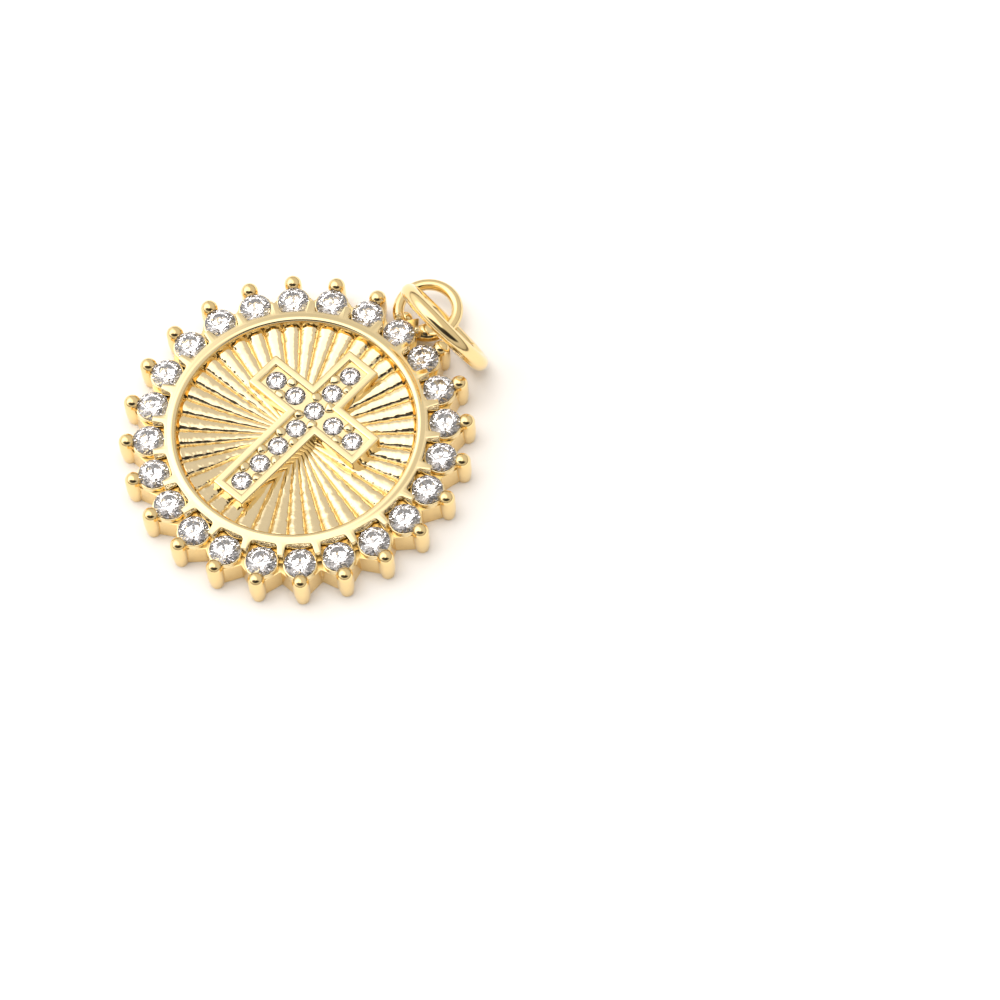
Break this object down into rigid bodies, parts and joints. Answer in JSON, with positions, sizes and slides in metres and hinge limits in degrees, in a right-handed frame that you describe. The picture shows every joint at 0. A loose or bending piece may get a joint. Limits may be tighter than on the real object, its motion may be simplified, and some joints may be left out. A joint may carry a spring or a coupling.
{
  "type": "cross pendant",
  "caption": "Round pendant with a raised stone-set cross on a sunburst disc, a star-shaped border of clear stones between posts, and a soldered loop that holds a jump ring.",
  "frame": {"origin": "centre of the bounding rectangle, on the surface that the pendant's back lies on", "axes": "+Z out of the front, which carries the cross and the stones; +Y along the cross's long arm from its foot towards the loop; +X to the right as seen from the front"},
  "size_m": [0.0182, 0.0208, 0.0056],
  "materials": {
    "gold": "polished gold plate, satin on the back and in the deep parts",
    "stone": "clear brilliant-cut stone"
  },
  "bodies": {
    "root": {"cast_body": "gold", "jump_ring": "gold", "border_stone_01": "stone", "border_stone_02": "stone", "border_stone_03": "stone", "border_stone_04": "stone", "border_stone_05": "stone", "border_stone_06": "stone", "border_stone_07": "stone", "border_stone_08": "stone", "border_stone_09": "stone", "border_stone_10": "stone", "border_stone_11": "stone", "border_stone_12": "stone", "border_stone_13": "stone", "border_stone_14": "stone", "border_stone_15": "stone", "border_stone_16": "stone", "border_stone_17": "stone", "border_stone_18": "stone", "border_stone_19": "stone", "border_stone_20": "stone", "border_stone_21": "stone", "border_stone_22": "stone", "border_stone_23": "stone", "border_stone_24": "stone", "cross_stone_01": "stone", "cross_stone_02": "stone", "cross_stone_03": "stone", "cross_stone_04": "stone", "cross_stone_05": "stone", "cross_stone_06": "stone", "cross_stone_07": "stone", "cross_stone_08": "stone", "cross_stone_09": "stone", "cross_stone_10": "stone", "cross_stone_11": "stone"}
  },
  "joints": []
}
